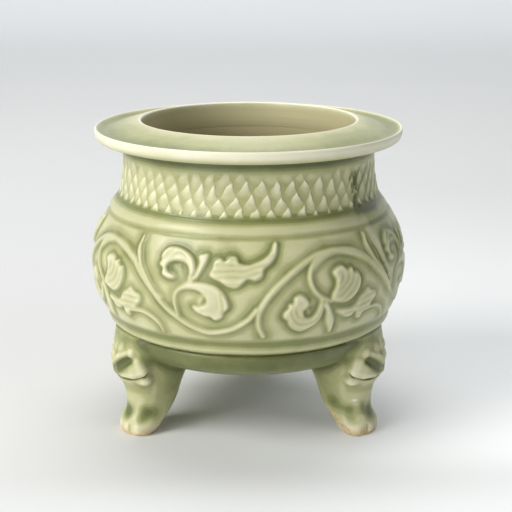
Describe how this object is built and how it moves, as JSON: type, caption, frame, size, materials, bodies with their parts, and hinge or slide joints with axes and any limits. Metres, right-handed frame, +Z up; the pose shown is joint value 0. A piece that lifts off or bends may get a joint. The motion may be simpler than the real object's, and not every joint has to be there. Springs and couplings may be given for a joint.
{
  "type": "tripod censer",
  "caption": "Squat round celadon censer on three lion-mask legs, with a wide flat rim, a lattice-cut neck and a flower scroll in relief round the belly.",
  "frame": {"origin": "on the floor under the vessel's axis, between the three soles", "axes": "+Z up along the vessel's axis; -Y towards the front, between the left and right legs; +X to the right seen from the front"},
  "size_m": [0.1362, 0.1362, 0.13],
  "materials": {
    "celadon_body": "satin-gloss celadon glaze, pale on edges and darker green where it pools",
    "celadon_relief": "satin-gloss celadon glaze, thin and pale over the raised relief",
    "celadon_leg": "satin-gloss celadon glaze, with bare buff clay at the soles"
  },
  "bodies": {
    "root": {"base_bowl": "celadon_body", "belly_back": "celadon_body", "belly_front": "celadon_body", "blossom_1": "celadon_relief", "blossom_2": "celadon_relief", "blossom_3": "celadon_relief", "blossom_4": "celadon_relief", "curled_leaf_1": "celadon_relief", "curled_leaf_2": "celadon_relief", "curled_leaf_3": "celadon_relief", "curled_leaf_4": "celadon_relief", "leg_left": "celadon_leg", "leg_rear": "celadon_leg", "leg_right": "celadon_leg", "lion_mask_left": "celadon_leg", "lion_mask_rear": "celadon_leg", "lion_mask_right": "celadon_leg", "lower_bead_back": "celadon_body", "lower_bead_front": "celadon_body", "neck_back": "celadon_body", "neck_front": "celadon_body", "plume_leaf_1": "celadon_relief", "plume_leaf_2": "celadon_relief", "plume_leaf_3": "celadon_relief", "plume_leaf_4": "celadon_relief", "rim_flange": "celadon_body", "shoulder_band_back": "celadon_body", "shoulder_band_front": "celadon_body", "spear_leaf_1": "celadon_relief", "spear_leaf_2": "celadon_relief", "spear_leaf_3": "celadon_relief", "spear_leaf_4": "celadon_relief", "vine_1": "celadon_relief", "vine_2": "celadon_relief", "vine_3": "celadon_relief", "vine_4": "celadon_relief"}
  },
  "joints": []
}
